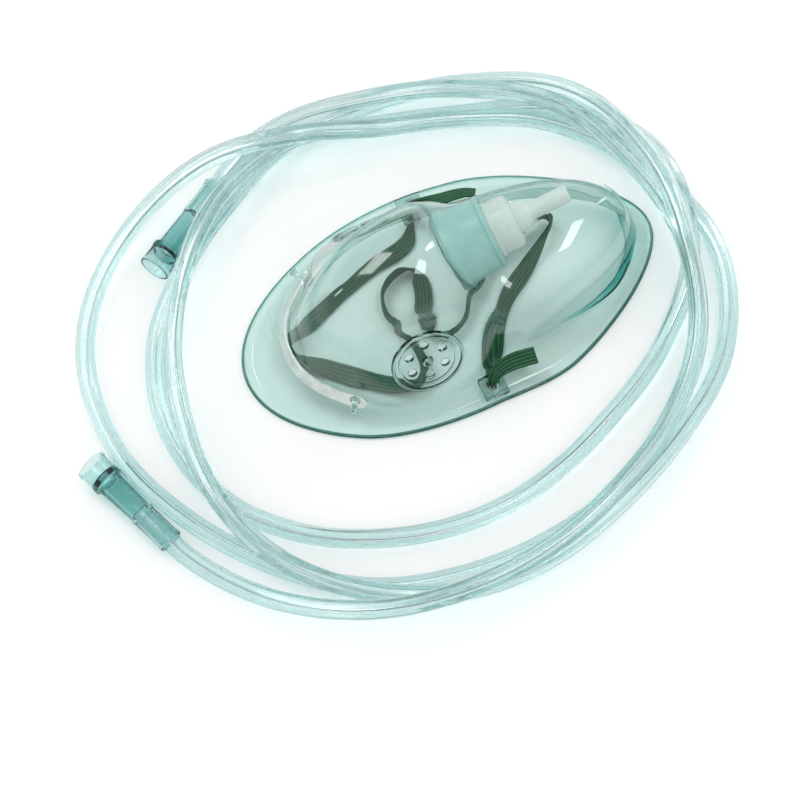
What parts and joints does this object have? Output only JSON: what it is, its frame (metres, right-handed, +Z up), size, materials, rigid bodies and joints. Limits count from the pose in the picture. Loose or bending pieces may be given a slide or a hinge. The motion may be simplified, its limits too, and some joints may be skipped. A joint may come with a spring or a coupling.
{
  "type": "oxygen face mask with tubing",
  "caption": "Clear moulded oxygen face mask with nose strip, vented cheeks, elastic head strap, swivelling inlet adapter and a loose coil of supply tubing with funnel ends.",
  "frame": {"origin": "the middle of the mask's rim plane, on the surface that the mask lies on; the tubing is not counted", "axes": "+X from the nose to the chin, +Y across the mask, +Z up, away from the surface; the mask lies face down on its rim"},
  "size_m": [0.21, 0.1685, 0.0505],
  "materials": {
    "clear_teal_pvc": "clear, glossy",
    "soft_aluminium": "satin, soft strip",
    "green_elastic": "woven, ribbed",
    "milky_plastic": "translucent, milky",
    "clear_tubing": "clear, glossy",
    "teal_plastic": "clear, glossy"
  },
  "bodies": {
    "mask": {"mask_shell": "clear_teal_pvc", "nose_clip": "soft_aluminium", "elastic_strap": "green_elastic"},
    "inlet": {"inlet_connector": "milky_plastic"},
    "tubing": {"oxygen_tube": "clear_tubing", "tube_connector_a": "teal_plastic", "tube_connector_b": "teal_plastic"}
  },
  "joints": [
    {"name": "inlet_swivel", "type": "hinge", "parent": "mask", "child": "inlet", "pos_m": [0.005, 0, 0.0375], "axis": [0.9659, 0, 0.2588], "continuous": true},
    {"name": "tubing_lift", "type": "slide", "parent": "mask", "child": "tubing", "axis": [0, 0, 1], "range_m": [0, 0.12]}
  ]
}
